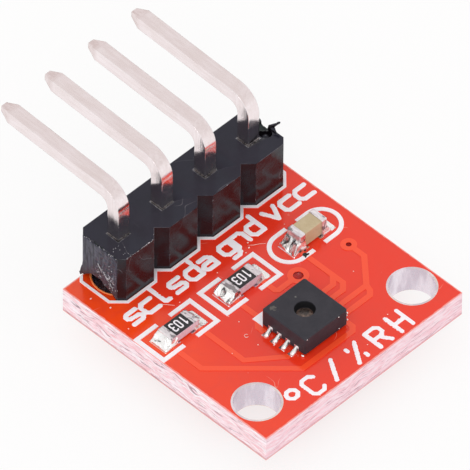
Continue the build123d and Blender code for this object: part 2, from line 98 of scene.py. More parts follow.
class Nodes:
    """Node tree that is being filled, with a short call for each kind of node."""

    def __init__(self, tree):
        self.tree = tree

    def add(self, kind, sockets=None, **settings):
        """New shader node with its settings, and with each named socket linked or given a value."""
        made = self.tree.nodes.new(f"ShaderNode{kind}")
        for name, value in settings.items():
            setattr(made, name, value)
        for key, value in (sockets or {}).items():
            if isinstance(value, bpy.types.NodeSocket):
                self.tree.links.new(value, made.inputs[key])
            else:
                made.inputs[key].default_value = value
        return made

    def maths(self, operation, first, second=0.0):
        """Output of one arithmetic node."""
        return self.add("Math", {0: first, 1: second}, operation=operation).outputs[0]

    def times(self, first, second):
        """Product of two values."""
        return self.maths("MULTIPLY", first, second)

    def scaled(self, place, stretch):
        """Place with each coordinate stretched by its own share."""
        return self.add("VectorMath", {0: place, 1: stretch}, operation="MULTIPLY").outputs[0]

    def cloud(self, place, scale, detail, **more):
        """Noise from 0 to 1 over a place."""
        sockets = {"Vector": place, "Scale": scale, "Detail": detail, **more}
        return self.add("TexNoise", sockets).outputs[0]

    def rise(self, value, start, end, low=0.0, high=1.0, curve="SMOOTHSTEP"):
        """Value carried from low to high while the input goes from start to end."""
        sockets = {"Value": value, "From Min": start, "From Max": end, "To Min": low,
                   "To Max": high}
        return self.add("MapRange", sockets, interpolation_type=curve).outputs[0]

    def between(self, factor, first, second):
        """Value that goes from the first to the second as the factor goes from 0 to 1."""
        return self.add("Mix", {0: factor, 2: first, 3: second}, data_type="FLOAT").outputs[0]

    def blend(self, factor, first, second):
        """Colour that goes from the first to the second as the factor goes from 0 to 1."""
        first, second = (colour if isinstance(colour, bpy.types.NodeSocket) else (*colour, 1.0)
                         for colour in (first, second))
        return self.add("Mix", {0: factor, 6: first, 7: second}, data_type="RGBA").outputs[2]


class Effect(Nodes):
    """Node group that is being filled: a mask or height over a place, for several finishes."""

    def __init__(self, name, output, inputs):
        super().__init__(bpy.data.node_groups.new(name, "ShaderNodeTree"))
        interface = self.tree.interface
        for label, value in {"Place": (0.0, 0.0, 0.0), **inputs}.items():
            kind = "NodeSocketFloat" if isinstance(value, float) else "NodeSocketVector"
            socket = interface.new_socket(label, in_out="INPUT", socket_type=kind)
            socket.default_value = value
        interface.new_socket(output, in_out="OUTPUT", socket_type="NodeSocketFloat")
        self.given = self.tree.nodes.new("NodeGroupInput").outputs
        self.place = self.given["Place"]
        self.leaving = self.tree.nodes.new("NodeGroupOutput").inputs[output]

    def put_out(self, value):
        """Makes a value the output of the group."""
        self.tree.links.new(value, self.leaving)
        return self.tree


# Fine grain: two sizes of noise together
effect = Effect("fine_grain", "Height", {"Scale": 10.0, "Coarse Share": 0.5})
coarser = 0.22
scale = effect.given["Scale"]
fine = effect.cloud(effect.place, scale, 3.0)
coarse = effect.cloud(effect.place, effect.times(scale, coarser), 2.0)
fine_grain = effect.put_out(effect.between(effect.given["Coarse Share"], fine, coarse))

# Smudges: soft uneven patches
effect = Effect("smudges", "Mask", {"Scale": 1.0, "Cover": 0.5})
patches = effect.cloud(effect.place, effect.given["Scale"], 5.0, Roughness=0.62,
                       Distortion=0.4)
edge = effect.maths("SUBTRACT", 1.0, effect.given["Cover"])
smudges = effect.put_out(
    effect.rise(effect.maths("SUBTRACT", patches, edge), -0.12, 0.16, curve="LINEAR"))

# Dust: sparse round specks, each with its own size
effect = Effect("dust", "Mask", {"Scale": 3.0, "Share": 0.1, "Size": 0.1})
cells = effect.add("TexVoronoi", {"Vector": effect.place, "Scale": effect.given["Scale"]})
luck = effect.add("SeparateColor", {0: cells.outputs["Color"]}).outputs
chosen = effect.maths("LESS_THAN", luck[0], effect.given["Share"])
speck_size = effect.times(luck[1], effect.given["Size"])
inside = effect.maths("LESS_THAN", cells.outputs["Distance"], speck_size)
dust = effect.put_out(effect.times(chosen, inside))

# Edge wear and painted edge highlights: strips where a rounded normal leaves the flat one
effect = Effect("edge_wear_and_highlight", "Mask", {"Radius": 0.00003, "Breaks": 8.0})
turned = effect.add("Bevel", {"Radius": effect.given["Radius"]}, samples=6).outputs[0]
flat = effect.add("NewGeometry").outputs["Normal"]
likeness = effect.add("VectorMath", {0: turned, 1: flat}, operation="DOT_PRODUCT")
strip = effect.rise(likeness.outputs["Value"], 0.995, 0.9, curve="LINEAR")
breaks = effect.cloud(effect.place, effect.given["Breaks"], 3.0)
edge_wear_and_highlight = effect.put_out(effect.times(strip, effect.rise(breaks, 0.4, 0.62, curve="LINEAR")))

# Drawn metal: streaks that run along one direction
effect = Effect("drawn_streaks", "Height", {"Stretch": (1.0, 1.0, 1.0)})
pulled = effect.scaled(effect.place, effect.given["Stretch"])
drawn_streaks = effect.put_out(effect.cloud(pulled, 1.0, 4.0, Roughness=0.6))


class Finish(Nodes):
    """Material that is being made. Its colour starts as a blend and takes tint after tint."""

    def __init__(self, name, constants):
        self.material = bpy.data.materials.new(name)
        self.material.use_nodes = True
        super().__init__(self.material.node_tree)
        self.shader = self.tree.nodes["Principled BSDF"]
        for key, value in constants.items():
            self.shader.inputs[key].default_value = value
        metres = self.add("TexCoord").outputs["Object"]
        self.place = self.add("VectorMath", {0: metres, 3: 1 / MM}, operation="SCALE").outputs[0]
        self.colour = None

    def axis(self, name):
        """One coordinate of the place on the object, in millimetres."""
        return self.add("SeparateXYZ", {0: self.place}).outputs[name]

    def facing(self, name):
        """One coordinate of the surface's normal."""
        normal = self.add("NewGeometry").outputs["Normal"]
        return self.add("SeparateXYZ", {0: normal}).outputs[name]

    def near(self, centre, reach, softness):
        """Mask of a round spot: 1 within its reach of a centre, 0 past its soft edge."""
        away = self.add("VectorMath", {0: self.place, 1: centre}, operation="DISTANCE")
        return self.rise(away.outputs["Value"], reach + softness, reach)

    def mottle(self, scale, detail, stretch=None, place=None):
        """Noise from 0 to 1 over the object or another place, stretched where that is asked."""
        place = place or self.place
        return self.cloud(self.scaled(place, stretch) if stretch else place, scale, detail)

    def veins(self, scale, detail, width, patch_scale, patch_detail, patch_span):
        """Mask of thin winding lines that show only in patches."""
        middle_line = self.maths("SUBTRACT", self.mottle(scale, detail), 0.5)
        line = self.rise(self.maths("ABSOLUTE", middle_line), width, 0.0)
        return self.times(line, self.rise(self.mottle(patch_scale, patch_detail), *patch_span))

    def shared(self, group, **values):
        """Output of a shared effect with its own values here."""
        sockets = {name.replace("_", " "): value for name, value in values.items()}
        return self.add("Group", {"Place": self.place, **sockets}, node_tree=group).outputs[0]

    def grain(self, scale, coarse_share):
        """Height of fine grain."""
        return self.shared(fine_grain, Scale=scale, Coarse_Share=coarse_share)

    def smudged(self, scale, cover):
        """Mask of soft uneven patches."""
        return self.shared(smudges, Scale=scale, Cover=cover)

    def dusty(self, scale, share, size):
        """Mask of sparse round specks."""
        return self.shared(dust, Scale=scale, Share=share, Size=size)

    def wear_and_highlight(self, radius, breaks):
        """Mask of the strips along the edges, for wear and for painted highlights."""
        return self.shared(edge_wear_and_highlight, Radius=radius * MM, Breaks=breaks)

    def drawn(self, stretch):
        """Height of streaks along one direction."""
        return self.shared(drawn_streaks, Stretch=stretch)

    def tint(self, mask, strength, colour):
        """Lays a colour over the finish where the mask is, at a strength from 0 to 1."""
        self.colour = self.blend(self.times(mask, strength), self.colour, colour)

    def gloss(self, height, low, high):
        """Roughness that follows a grain from low to high."""
        return self.rise(height, 0.3, 0.7, low, high)

    def close(self, roughness, height=None, depth=0.0, edge_radius=0.0):
        """Material with its colour, its roughness, and its grain as bumps of a depth in
        millimetres. With an edge radius, the light takes the edges as rounded."""
        changing = {"Base Color": self.colour, "Roughness": roughness}
        if height:
            bump = {"Height": height, "Distance": depth * MM}
            if edge_radius:
                bump["Normal"] = self.add("Bevel", {"Radius": edge_radius * MM}, samples=4).outputs[0]
            changing["Normal"] = self.add("Bump", bump).outputs[0]
        for key, value in changing.items():
            self.tree.links.new(value, self.shader.inputs[key])
        return self.material


def grained(name, constants, scale, coarse_share, spread, light, dark, low, high, depth):
    """Material of one grain: its two colours, its roughness and its bumps all follow it."""
    skin = Finish(name, constants)
    grain = skin.grain(scale, coarse_share)
    skin.colour = skin.blend(skin.rise(grain, 0.5 - spread, 0.5 + spread), light, dark)
    return skin.close(skin.gloss(grain, low, high), grain if depth else None, depth)


# Solder mask: glossy red lacquer, lighter over the tracks and pale where the board was cut
skin = Finish("red_lacquer", {"IOR": 1.56})
x, y, z = (skin.axis(name) for name in "XYZ")
middle_z = (board_low.z + board_high.z) / 2
from_middle = skin.maths("ABSOLUTE", skin.maths("SUBTRACT", z, middle_z))
raised = skin.rise(from_middle, board_top - middle_z + 0.003, board_top - middle_z + 0.012)
# Painted light: the lacquer is painted lighter and more orange towards the left end, most towards the
# back
painted_lit_side = skin.times(skin.rise(x, -2.6, -5.0), skin.rise(y, -2.5, 2.0, 0.35, 1.0))
skin.colour = skin.blend(painted_lit_side, (0.87, 0.034, 0.009), (0.96, 0.066, 0.005))
cloudy = skin.smudged(1.1, 0.42)
skin.tint(cloudy, 0.5, (0.82, 0.044, 0.018))
skin.tint(raised, 1.0, (0.985, 0.078, 0.022))
to_side = skin.maths("SUBTRACT", board_high.x, skin.maths("ABSOLUTE", x))
to_front = skin.maths("SUBTRACT", board_high.y, skin.maths("ABSOLUTE", y))
ragged = skin.times(skin.mottle(5.0, 4.0), 0.09)
to_rim = skin.maths("SUBTRACT", skin.maths("MINIMUM", to_side, to_front), ragged)
skin.tint(skin.rise(to_rim, 0.012, -0.012), 0.7, (0.96, 0.44, 0.40))
skin.tint(skin.dusty(1.9, 0.2, 0.075), 0.75, (0.97, 0.62, 0.52))
skin.tint(skin.dusty(1.3, 0.12, 0.08), 0.5, (0.42, 0.01, 0.006))
skin.tint(skin.veins(0.55, 1.0, 0.0035, 0.9, 0.0, (0.62, 0.7)), 0.45, (0.97, 0.55, 0.42))
lacquer = skin.close(skin.rise(cloudy, 0.0, 1.0, 0.13, 0.2), skin.grain(7.0, 0.8), 0.003)

# Sawn glass cloth of the board's edge: pale fibre bundles that dive in and out of the cut
skin = Finish("sawn_laminate", {"IOR": 1.45})
x, y, z = (skin.axis(name) for name in "XYZ")
tilt = skin.maths("ADD", z, skin.times(skin.mottle(1.0, 2.0, (0.7, 0.7, 1.2)), 0.6))
lifted = skin.add("CombineXYZ", {0: x, 1: y, 2: tilt}).outputs[0]
layers = skin.mottle(1.0, 5.0, (0.8, 0.8, 8.0), lifted)
threads = skin.mottle(1.0, 6.0, (1.3, 1.3, 24.0), lifted)
skin.colour = skin.blend(skin.rise(layers, 0.36, 0.6), (0.99, 0.88, 0.94), (0.97, 0.71, 0.77))
skin.tint(skin.rise(threads, 0.5, 0.66), 0.8, (0.90, 0.48, 0.52))
dark_thread = skin.times(skin.rise(threads, 0.45, 0.37), skin.rise(layers, 0.36, 0.48))
skin.tint(dark_thread, 0.85, (0.32, 0.18, 0.22))
bare = skin.rise(skin.mottle(1.0, 3.0, (1.6, 1.6, 13.0), lifted), 0.54, 0.62)
skin.tint(bare, 0.75, (0.99, 0.96, 0.98))
low_line = skin.rise(skin.maths("SUBTRACT", z, skin.times(threads, 0.16)), 0.07, 0.0)
skin.tint(low_line, 0.7, (0.56, 0.26, 0.28))
# Painted shade: faces turned towards -Y are painted pinker and darker
skin.tint(skin.rise(skin.facing("Y"), -0.4, -0.9), 0.3, (0.90, 0.52, 0.62))
cloth = skin.maths("ADD", skin.times(layers, 0.6), skin.times(threads, 0.5))
laminate = skin.close(skin.gloss(threads, 0.5, 0.8), cloth, 0.03)

# Printed ink
skin = Finish("white_ink", {"IOR": 1.45, "Sheen Weight": 0.5})
grain = skin.grain(22.0, 0.4)
skin.colour = skin.blend(skin.smudged(2.5, 0.5), (1.0, 0.97, 1.0), (0.97, 0.91, 0.98))
ink = skin.close(skin.gloss(grain, 0.4, 0.6), grain, 0.004)

# Moulded header plastic: painted lighter slate on top as painted sheen and darker black at the
# sides as painted shade, with bright edges as painted highlight, faint scratches and a little grit
skin = Finish("black_mould", {"IOR": 1.48, "Specular IOR Level": 0.4,
                              "Specular Tint": (0.86, 0.88, 1.0, 1.0)})
patchy = skin.smudged(1.1, 0.5)
# Painted light: the top faces take a lighter colour and the side faces a darker one
top_face = skin.rise(skin.facing("Z"), 0.5, 0.9)
painted_shade_sides = skin.blend(patchy, (0.004, 0.0025, 0.004), (0.006, 0.004, 0.006))
painted_sheen_top = skin.blend(patchy, (0.0145, 0.0140, 0.0235), (0.0180, 0.0175, 0.0290))
skin.colour = skin.blend(top_face, painted_shade_sides, painted_sheen_top)
# Painted highlight: bright strips along the edges, with crumbs scattered along them
painted_edge_highlight = skin.wear_and_highlight(0.035, 2.2)
skin.tint(painted_edge_highlight, 0.5, (0.34, 0.33, 0.38))
edge_crumbs = skin.times(skin.rise(painted_edge_highlight, 0.05, 0.5), skin.dusty(6.0, 0.3, 0.4))
skin.tint(edge_crumbs, 1.0, (0.8, 0.8, 0.84))
skin.tint(skin.dusty(2.6, 0.10, 0.09), 0.55, (0.45, 0.45, 0.47))
skin.tint(skin.veins(0.45, 1.0, 0.003, 0.8, 0.0, (0.5, 0.62)), 0.3, (0.3, 0.29, 0.31))
roughness = skin.maths("ADD", skin.rise(patchy, 0.0, 1.0, 0.15, 0.23),
                       skin.rise(top_face, 1.0, 0.0, 0.0, 0.05))
waves = skin.times(skin.grain(2.4, 0.4), skin.rise(top_face, 1.0, 0.0, 1.0, 3.0))
mould = skin.close(roughness, waves, 0.006, 0.03)

# Torn plastic at the broken end of the header: grey striations, pale tears and near-black painted
# shade of hollows
skin = Finish("torn_mould", {"IOR": 1.45})
grain = skin.grain(11.0, 0.5)
skin.colour = skin.blend(skin.rise(skin.drawn((3.0, 7.0, 1.4)), 0.36, 0.64),
                         (0.020, 0.019, 0.032), (0.062, 0.060, 0.092))
skin.tint(skin.rise(skin.axis("Z"), 2.6, 1.5), 1.0, (0.05, 0.035, 0.045))
torn_middle = (housing_low.x, row_y - 0.45, board_top + 0.85)
flecks = skin.times(skin.rise(grain, 0.54, 0.62), skin.near(torn_middle, 0.25, 0.75))
skin.tint(flecks, 0.75, (0.62, 0.58, 0.64))
# Painted shade: near-black patches where hollows would be, round the middle of the torn face
painted_hollow_shade = skin.rise(skin.grain(8.0, 0.3), 0.45, 0.38)
skin.tint(skin.times(painted_hollow_shade, skin.near(torn_middle, 0.5, 0.8)), 0.9, (0.004, 0.004, 0.005))
torn = skin.close(skin.gloss(grain, 0.3, 0.55), grain, 0.03)

# Tinned pins: near mirror bright, with faint streaks drawn along the upright and then the reach,
# painted highlights along the edges and a painted reflection low down
skin = Finish("tinned_pin", {"Metallic": 1.0})
bend_y = board_high.y - 0.5
after_bend = skin.rise(skin.axis("Y"), bend_y - 0.15, bend_y + 0.15)
streaks = skin.between(after_bend, skin.drawn((7.0, 7.0, 0.7)), skin.drawn((7.0, 0.7, 7.0)))
dull = skin.smudged(1.2, 0.5)
skin.colour = skin.blend(skin.rise(streaks, 0.34, 0.66), (0.865, 0.765, 0.77), (0.925, 0.84, 0.85))
skin.tint(dull, 0.4, (0.80, 0.70, 0.68))
# Painted highlight: a bright line along the pins' edges
skin.tint(skin.wear_and_highlight(0.04, 0.25), 1.0, (1.0, 0.98, 0.99))
tip = skin.rise(skin.axis("Y"), tip_y - 0.75, tip_y - 0.4)
skin.tint(tip, skin.rise(streaks, 0.35, 0.6, 0.15, 0.6), (0.60, 0.46, 0.44))
# Painted reflection: the pins are painted duller and greener low down, near the housing
low_down = skin.rise(skin.axis("Z"), board_top + 3.4, board_top + 2.6)
skin.tint(low_down, 0.45, (0.80, 0.80, 0.74))
roughness = skin.maths("ADD", skin.rise(dull, 0.0, 1.0, 0.1, 0.2), skin.times(low_down, 0.08))
pins = skin.close(roughness, streaks, 0.004, 0.05)

# Solder: bright and smooth, with a few thin dark lines as painted reflections and a brown painted
# reflection of the capacitor by it
skin = Finish("bright_solder", {"Metallic": 1.0})
dull = skin.smudged(3.0, 0.4)
skin.colour = skin.blend(dull, (0.985, 0.985, 0.98), (0.90, 0.89, 0.885))
# Painted reflections: thin dark lines where dark surroundings would show in the solder
skin.tint(skin.veins(3.2, 3.0, 0.014, 2.0, 1.0, (0.50, 0.58)), 0.75, (0.16, 0.13, 0.13))
capacitor_middle = middle("capacitor_body")
# Painted reflection: a brown patch on the fillet beside the capacitor
capacitor_reflection_place = (capacitor_middle.x - 1.0, capacitor_middle.y + 0.22, board_top + 0.25)
skin.tint(skin.near(capacitor_reflection_place, 0.12, 0.2), 0.7, (0.34, 0.28, 0.26))
solder = skin.close(skin.rise(dull, 0.0, 1.0, 0.26, 0.4), skin.grain(3.5, 0.5), 0.006)

# Tinned ends of the chips, and the leads of the sensor, with dark bands as painted reflections
skin = Finish("tinned_chip_end", {"Metallic": 1.0})
brushed = skin.drawn((10.0, 2.5, 5.0))
skin.colour = skin.blend(skin.rise(brushed, 0.38, 0.62), (0.78, 0.72, 0.76), (0.95, 0.92, 0.94))
painted_dark_reflections = skin.rise(skin.mottle(1.0, 2.0, (4.5, 2.0, 2.0)), 0.56, 0.62)
skin.tint(painted_dark_reflections, 0.75, (0.16, 0.14, 0.15))
chip_end = skin.close(skin.gloss(skin.grain(20.0, 0.5), 0.26, 0.44), brushed, 0.02, 0.05)

# Plated hole linings, rims and lands, with copper showing warm at the worn rims
skin = Finish("tinned_plating", {"Metallic": 1.0})
grain = skin.grain(10.0, 0.6)
skin.colour = skin.blend(skin.rise(skin.drawn((1.6, 1.6, 0.4)), 0.38, 0.62),
                         (0.70, 0.63, 0.71), (0.90, 0.84, 0.91))
skin.tint(skin.wear_and_highlight(0.06, 0.7), 0.9, (0.98, 0.80, 0.55))
plating = skin.close(skin.gloss(grain, 0.16, 0.3), grain, 0.006)

# Ceramic of the chip capacitor
skin = Finish("tan_ceramic", {"IOR": 1.5})
grain = skin.grain(14.0, 0.6)
skin.colour = skin.blend(skin.smudged(3.0, 0.5), (0.60, 0.49, 0.31), (0.53, 0.42, 0.25))
skin.tint(skin.rise(grain, 0.55, 0.72), 0.3, (0.62, 0.53, 0.36))
tan_ceramic = skin.close(skin.gloss(grain, 0.3, 0.5), grain, 0.006)

# Moulding compound of the sensor: matt slate with a ground-in mark and pale flecks, and the
# window's walls painted near black as painted shade
skin = Finish("sensor_compound", {"IOR": 1.34})
grain = skin.grain(16.0, 0.35)
skin.colour = skin.blend(skin.smudged(1.5, 0.5), (0.030, 0.029, 0.038), (0.040, 0.038, 0.048))
skin.tint(skin.rise(grain, 0.56, 0.72), 0.35, (0.085, 0.083, 0.092))
sensor_top = sensor_high.z
mark = skin.near((sensor_low.x + 0.34, sensor_high.y - 0.32, sensor_top), 0.13, 0.05)
mark = skin.times(mark, skin.rise(skin.mottle(9.0, 3.0), 0.4, 0.56))
skin.tint(mark, 0.6, (0.17, 0.155, 0.135))
painted_window_shade = skin.times(skin.near((sensor_middle.x, sensor_middle.y, sensor_top), 0.47, 0.03),
                         skin.rise(skin.axis("Z"), sensor_top - 0.02, sensor_top - 0.06))
skin.tint(painted_window_shade, 0.9, (0.005, 0.005, 0.006))
skin.tint(skin.dusty(2.2, 0.16, 0.1), 0.6, (0.24, 0.24, 0.22))
skin.tint(skin.wear_and_highlight(0.03, 2.6), 0.18, (0.16, 0.16, 0.18))
compound = skin.close(skin.gloss(grain, 0.46, 0.62), grain, 0.006, 0.03)

# Silicon of the sensing die: brown, with a painted highlight and a painted shadow
skin = Finish("sensing_die", {"IOR": 1.6})
die_middle = middle("sensor_die")
die_top = node_box("sensor_die")[1].z
grain = skin.grain(7.0, 0.6)
skin.colour = skin.blend(skin.rise(grain, 0.4, 0.6), (0.06, 0.032, 0.024), (0.26, 0.17, 0.13))
shade = skin.near((die_middle.x + 0.12, die_middle.y + 0.14, die_top), 0.16, 0.14)
skin.tint(shade, 0.85, (0.012, 0.009, 0.009))
glint = skin.near((die_middle.x - 0.16, die_middle.y - 0.11, die_top), 0.022, 0.035)
skin.tint(glint, 1.0, (0.9, 0.86, 0.82))
silicon = skin.close(skin.gloss(grain, 0.15, 0.3), grain, 0.01)

# Finishes of a single grain: dark resin left by the soldering, also used as painted shade in the
# header's bite and pits, pale dust and fibres, crumbs of torn plastic, the thin bright end of the
# lacquer round a pad, partly painted highlight, the lacquer in the mouths of the vias, painted deep
# red as painted shade, the white ceramic and the glassy coat of the chip resistors
resin_and_pit_shade = grained("burnt_resin", {"Specular IOR Level": 0.12}, 12.0, 0.5, 0.15,
                (0.006, 0.010, 0.010), (0.035, 0.045, 0.045), 0.2, 0.4, 0.01)
pale_dust = grained("pale_dust", {"IOR": 1.4}, 9.0, 0.5, 0.1,
                    (0.98, 0.80, 0.74), (0.96, 0.58, 0.50), 0.6, 0.8, 0.0)
crumb = grained("plastic_crumb", {"IOR": 1.5}, 15.0, 0.5, 0.1,
                (0.70, 0.69, 0.72), (0.16, 0.16, 0.18), 0.35, 0.6, 0.0)
lacquer_rim_and_highlight = grained("orange_lacquer_rim", {"IOR": 1.56}, 5.0, 0.6, 0.15,
                      (1.0, 0.34, 0.10), (0.98, 0.20, 0.05), 0.12, 0.25, 0.004)
shaded_via_lacquer = grained("via_lacquer_painted_shade", {"IOR": 1.5}, 9.0, 0.6, 0.15,
                       (0.50, 0.006, 0.004), (0.34, 0.004, 0.003), 0.2, 0.35, 0.01)
white_ceramic = grained("white_ceramic", {"IOR": 1.5}, 18.0, 0.5, 0.15,
                        (0.86, 0.70, 0.78), (0.74, 0.54, 0.64), 0.45, 0.65, 0.012)
glass_coat = grained("glassy_coat", {"IOR": 1.52}, 9.0, 0.8, 0.15,
                     (0.006, 0.006, 0.007), (0.016, 0.016, 0.02), 0.14, 0.28, 0.02)

# Floor: pale paper that shows nearly white to the camera and in reflections, under a faint shadow
skin = Finish("pale_floor", {"Specular IOR Level": 0.0})
skin.colour = skin.blend(skin.mottle(0.02, 2.0), (0.955, 0.955, 0.955), (0.97, 0.97, 0.97))
pale_floor = skin.close(skin.rise(skin.colour, 0.0, 1.0, 0.9, 1.0))
ray = skin.add("LightPath").outputs
looked_at = skin.maths("MAXIMUM", ray["Is Camera Ray"], ray["Is Glossy Ray"])
looked_at = skin.maths("MAXIMUM", looked_at, ray["Is Transmission Ray"])
glow_share = 0.78
glow = skin.add("Emission", {"Color": (1.0, 1.0, 1.0, 1.0), "Strength": 1.0}).outputs[0]
both = skin.add("MixShader", {0: skin.times(looked_at, glow_share), 1: skin.shader.outputs[0],
                              2: glow})
skin.tree.links.new(both.outputs[0], skin.tree.nodes["Material Output"].inputs["Surface"])

# The last entry that a node's name holds gives its material
node_materials = {
    "laminate": laminate,
    "copper_": plating,
    "solder_mask_": lacquer,
    "white_outlines": ink,
    "screw_lining_": plating,
    "_barrel_": plating,
    "header_pin_": pins,
    "header_housing": mould,
    "_body": white_ceramic,
    "_coating": glass_coat,
    "_terminal_": chip_end,
    "_solder_": solder,
    "capacitor_body": tan_ceramic,
    "sensor_leads": chip_end,
    "sensor_die": silicon,
    "sensor_body": compound,
    "sensor_solder": solder,
}
for name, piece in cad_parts.items():
    chosen = [material for part, material in node_materials.items() if part in name][-1]
    piece.data.materials.clear()
    piece.data.materials.append(chosen)


# World, lamp and floor

world = bpy.data.worlds.new("studio")
scene.world = world
world.use_nodes = True
sky = Nodes(world.node_tree)
height = sky.add("SeparateXYZ", {0: sky.add("TexCoord").outputs["Generated"]}).outputs["Z"]
sky_colour = sky.blend(sky.rise(height, 0.05, 0.6), (1.0, 1.0, 1.0), (0.86, 0.835, 0.825))
backdrop = sky.tree.nodes["Background"]
sky.tree.links.new(sky_colour, backdrop.inputs["Color"])
backdrop.inputs["Strength"].default_value = 1.0

lamp_place = Vector((-0.33, -0.27, 0.47))
lamp = bpy.data.objects.new("softbox", bpy.data.lights.new("softbox", "AREA"))
lamp.data.shape = "SQUARE"
lamp.data.size = 0.35
lamp.data.energy = 0.74
aim = (-lamp_place).to_track_quat("-Z", "Y").to_matrix()
lamp.matrix_world = Matrix.Translation(lamp_place) @ aim.to_4x4()
scene.collection.objects.link(lamp)

floor_half = 3000
floor_mesh = bpy.data.meshes.new("floor")
floor_mesh.from_pydata(
    [(x * floor_half * MM, y * floor_half * MM, tail_end * MM)
     for x, y in ((-1, -1), (1, -1), (1, 1), (-1, 1))], [], [(0, 1, 2, 3)])
floor_mesh.materials.append(pale_floor)
floor = bpy.data.objects.new("floor", floor_mesh)
scene.collection.objects.link(floor)


# Mesh building

def settle(name, mesh, replaced=(), crease=40):
    """New piece from a mesh, riding on the board. Its shading is smooth, apart from edges that turn
    by more than the crease in degrees."""
    mesh.shade_smooth()
    mesh.set_sharp_from_angle(angle=math.radians(crease))
    piece = bpy.data.objects.new(name, mesh)
    scene.collection.objects.link(piece)
    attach(piece, "root")
    if replaced:
        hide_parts(*replaced)
    return piece


def build(name, points, faces, material, replaced=(), crease=40):
    """New piece from points in millimetres."""
    mesh = bpy.data.meshes.new(name)
    mesh.from_pydata([Vector(point) * MM for point in points], [], faces)
    mesh.materials.append(material)
    return settle(name, mesh, replaced, crease)


def build_shape(name, shape, material):
    """New piece from a worked mesh in millimetres, which is used up."""
    shape.verts.index_update()
    points = [corner.co.copy() for corner in shape.verts]
    faces = [[corner.index for corner in face.verts] for face in shape.faces]
    shape.free()
    return build(name, points, faces, material)


def skin_faces(first, sides, count):
    """Faces that join rings of points, each ring with the next."""
    return [[low + side, low + (side + 1) % sides, low + sides + (side + 1) % sides,
             low + sides + side]
            for low in range(first, first + (count - 1) * sides, sides) for side in range(sides)]


def build_tube(name, rings, material, crease=40):
    """New closed piece from rings of points, one after another."""
    sides = len(rings[0])
    faces = skin_faces(0, sides, len(rings))
    last = (len(rings) - 1) * sides
    faces += [list(reversed(range(sides))), list(range(last, last + sides))]
    return build(name, [point for ring in rings for point in ring], faces, material,
                 crease=crease)


def uneven(x, y, z):
    """Smooth random value, about from -1 to 1, that belongs to a place."""
    return noise.noise(Vector((x, y, z)))


def relief(cell, low, high, inside, height, floor, edge_drop=0.0):
    """Points and faces of a closed low relief: the cells of a grid that lie inside an outline,
    between a floor and a height given over the floor."""
    columns, rows = (math.ceil((high[k] - low[k]) / cell) for k in (0, 1))
    filled = {(i, j) for i in range(columns) for j in range(rows)
              if inside(low[0] + (i + 0.5) * cell, low[1] + (j + 0.5) * cell)}
    for i, j in sorted(filled):
        for di in (1, -1):
            if ((i + di, j + 1) in filled and (i + di, j) not in filled
                    and (i, j + 1) not in filled):
                filled.add((i + di, j))
    corners = sorted({(i + di, j + dj) for i, j in filled for di in (0, 1) for dj in (0, 1)})
    around = ((0, 0), (-1, 0), (0, -1), (-1, -1))
    rim = {(i, j) for i, j in corners if any((i + di, j + dj) not in filled for di, dj in around)}
    place = {}
    for i, j in corners:
        beside = [(i + di, j + dj) for di, dj in ((1, 0), (-1, 0), (0, 1), (0, -1))
                  if (i + di, j + dj) in rim]
        if (i, j) in rim and len(beside) == 2:
            pulled = [sum(b[k] for b in beside) / 4 + (i, j)[k] / 2 for k in (0, 1)]
        else:
            pulled = i, j
        place[i, j] = low[0] + pulled[0] * cell, low[1] + pulled[1] * cell
    bottom = {key: number for number, key in enumerate(corners)}
    top = {key: number + len(corners) for key, number in bottom.items()}
    points = [(*place[key], floor) for key in corners]
    points += [(*place[key], floor + height(*place[key]) * (1 - edge_drop * (key in rim)))
               for key in corners]
    faces = []
    for i, j in sorted(filled):
        ring = [(i, j), (i + 1, j), (i + 1, j + 1), (i, j + 1)]
        faces.append([top[key] for key in ring])
        faces.append([bottom[key] for key in reversed(ring)])
        beyond = [(i, j - 1), (i + 1, j), (i, j + 1), (i - 1, j)]
        for start, end, neighbour in zip(ring, ring[1:] + ring[:1], beyond):
            if neighbour not in filled:
                faces.append([bottom[start], bottom[end], top[end], top[start]])
    return points, faces


def near_line(x, y, start, end):
    """Distance from a point to a straight stroke."""
    run_x, run_y = end[0] - start[0], end[1] - start[1]
    along = ((x - start[0]) * run_x + (y - start[1]) * run_y) / (run_x ** 2 + run_y ** 2)
    along = min(1.0, max(0.0, along))
    return math.hypot(x - start[0] - along * run_x, y - start[1] - along * run_y)


# White print

print_cell = 0.036
print_thickness = 0.03
print_fray = 0.45
print_edge_drop = 0.45


def print_strokes(name, routes, width, cell, level, thickness):
    """Piece of printed strokes: chains of corners drawn with a pen of one width."""
    lines = [pair for route in routes for pair in zip(route, route[1:])]
    low = [min(p[k] for line in lines for p in line) - width for k in (0, 1)]
    high = [max(p[k] for line in lines for p in line) + width for k in (0, 1)]

    def inside(x, y):
        fray = uneven(x * 14, y * 14, 3.0) * cell * print_fray
        return min(near_line(x, y, start, end) for start, end in lines) < width / 2 + fray

    points, faces = relief(cell, low, high, inside, lambda x, y: thickness, level,
                           print_edge_drop)
    return build(name, points, faces, ink)


def spell(name, letters, line, width, height, pen):
    """Piece of printed letters on the board. Each letter is its strokes and its start along X."""
    routes = [[(start + x * width, line + y * height) for x, y in stroke]
              for strokes, start in letters for stroke in strokes]
    return print_strokes(name, routes, pen, print_cell, board_top, print_thickness)


